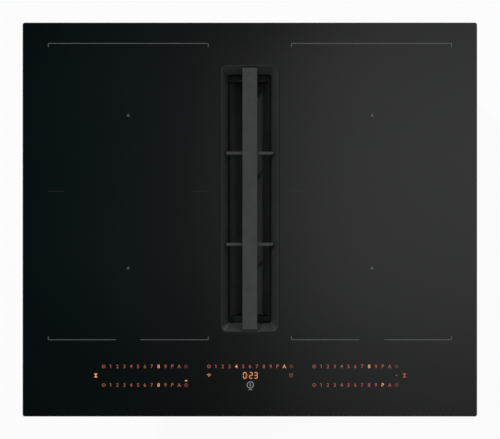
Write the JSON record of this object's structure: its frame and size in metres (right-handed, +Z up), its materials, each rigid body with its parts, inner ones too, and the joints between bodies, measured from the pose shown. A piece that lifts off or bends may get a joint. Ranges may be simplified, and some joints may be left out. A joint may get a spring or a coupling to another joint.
{
  "type": "downdraft induction cooktop",
  "caption": "Built-in induction cooktop with a black glass top, a long central air inlet under a slim grille, and an extractor fan in a duct housing below.",
  "frame": {"origin": "under the middle of the glass, on the plane that the duct housing stands on", "axes": "+Z up, +X to the right and +Y to the rear as seen from the controls at the front"},
  "size_m": [0.6, 0.52, 0.2103],
  "materials": {
    "black_glass": "polished black glass-ceramic",
    "foam_seal": "closed-cell foam",
    "dark_metal": "satin dark grey enamel",
    "stainless_steel": "brushed",
    "sheet_steel": "zinc-coated sheet",
    "aluminium": "mill finish",
    "black_plastic": "moulded, fine texture",
    "grey_plastic": "moulded, fine texture",
    "copper": "lacquered copper strands",
    "mica": "pressed mica sheet",
    "circuit_board": "solder-masked board"
  },
  "bodies": {
    "housing": {"glass_plate": "black_glass", "worktop_seal": "foam_seal", "inlet_bezel": "dark_metal", "bezel_seal": "foam_seal", "air_duct_tub": "black_plastic", "air_duct_lid": "black_plastic", "volute": "black_plastic", "fan_motor": "sheet_steel", "motor_bracket": "sheet_steel", "outlet_collar": "grey_plastic", "flap_pin": "stainless_steel", "casing_tray": "sheet_steel", "side_spring_front_left": "stainless_steel", "side_spring_front_right": "stainless_steel", "side_spring_rear_left": "stainless_steel", "side_spring_rear_right": "stainless_steel", "coil_plate_left": "aluminium", "coil_plate_right": "aluminium", "coil_former_front_left": "black_plastic", "coil_former_front_right": "black_plastic", "coil_former_rear_left": "black_plastic", "coil_former_rear_right": "black_plastic", "coil_winding_front_left": "copper", "coil_winding_front_right": "copper", "coil_winding_rear_left": "copper", "coil_winding_rear_right": "copper", "zone_sensor_front_left": "stainless_steel", "zone_sensor_front_right": "stainless_steel", "zone_sensor_rear_left": "stainless_steel", "zone_sensor_rear_right": "stainless_steel", "mica_sheet_left": "mica", "mica_sheet_right": "mica", "power_board_left": "circuit_board", "power_board_right": "circuit_board", "heat_sink_left": "aluminium", "heat_sink_right": "aluminium", "cooling_fan_frame_left": "black_plastic", "cooling_fan_frame_right": "black_plastic", "touch_carrier": "black_plastic", "touch_board": "circuit_board", "terminal_box": "grey_plastic", "terminal_block": "black_plastic", "terminal_cover_pin": "stainless_steel", "cable_gland": "black_plastic"},
    "tray": {"drip_tray": "stainless_steel"},
    "filter": {"filter_frame": "dark_metal", "filter_mesh_left": "stainless_steel", "filter_mesh_right": "stainless_steel"},
    "grille": {"grille_bar": "dark_metal", "grille_crossbar_front": "dark_metal", "grille_crossbar_rear": "dark_metal"},
    "fan_wheel": {"impeller": "black_plastic", "motor_shaft": "stainless_steel"},
    "cooling_rotor_left": {"cooling_fan_rotor_left": "black_plastic"},
    "cooling_rotor_right": {"cooling_fan_rotor_right": "black_plastic"},
    "flap": {"outlet_flap": "grey_plastic"},
    "cover": {"terminal_cover": "grey_plastic"}
  },
  "joints": [
    {"name": "drip_tray_lift", "type": "slide", "parent": "housing", "child": "tray", "axis": [0, 0, 1], "range_m": [0, 0.22]},
    {"name": "filter_lift", "type": "slide", "parent": "tray", "child": "filter", "axis": [0, 0, 1], "range_m": [0, 0.08]},
    {"name": "grille_lift", "type": "slide", "parent": "filter", "child": "grille", "axis": [0, 0, 1], "range_m": [0, 0.05]},
    {"name": "fan_wheel_spin", "type": "hinge", "parent": "housing", "child": "fan_wheel", "pos_m": [0.152, 0.02, 0.09], "axis": [0, 0, 1], "continuous": true},
    {"name": "cooling_fan_left_spin", "type": "hinge", "parent": "housing", "child": "cooling_rotor_left", "pos_m": [-0.1604, -0.126, 0.157], "axis": [0, 0, 1], "continuous": true},
    {"name": "cooling_fan_right_spin", "type": "hinge", "parent": "housing", "child": "cooling_rotor_right", "pos_m": [0.1604, -0.126, 0.157], "axis": [0, 0, 1], "continuous": true},
    {"name": "flap_swing", "type": "hinge", "parent": "housing", "child": "flap", "pos_m": [0.1565, 0.2316, 0.12835], "axis": [1, 0, 0], "range_deg": [0, 80]},
    {"name": "terminal_cover_swing", "type": "hinge", "parent": "housing", "child": "cover", "pos_m": [-0.2161, 0.17, 0.1411], "axis": [0, 1, 0], "range_deg": [0, 85]}
  ]
}
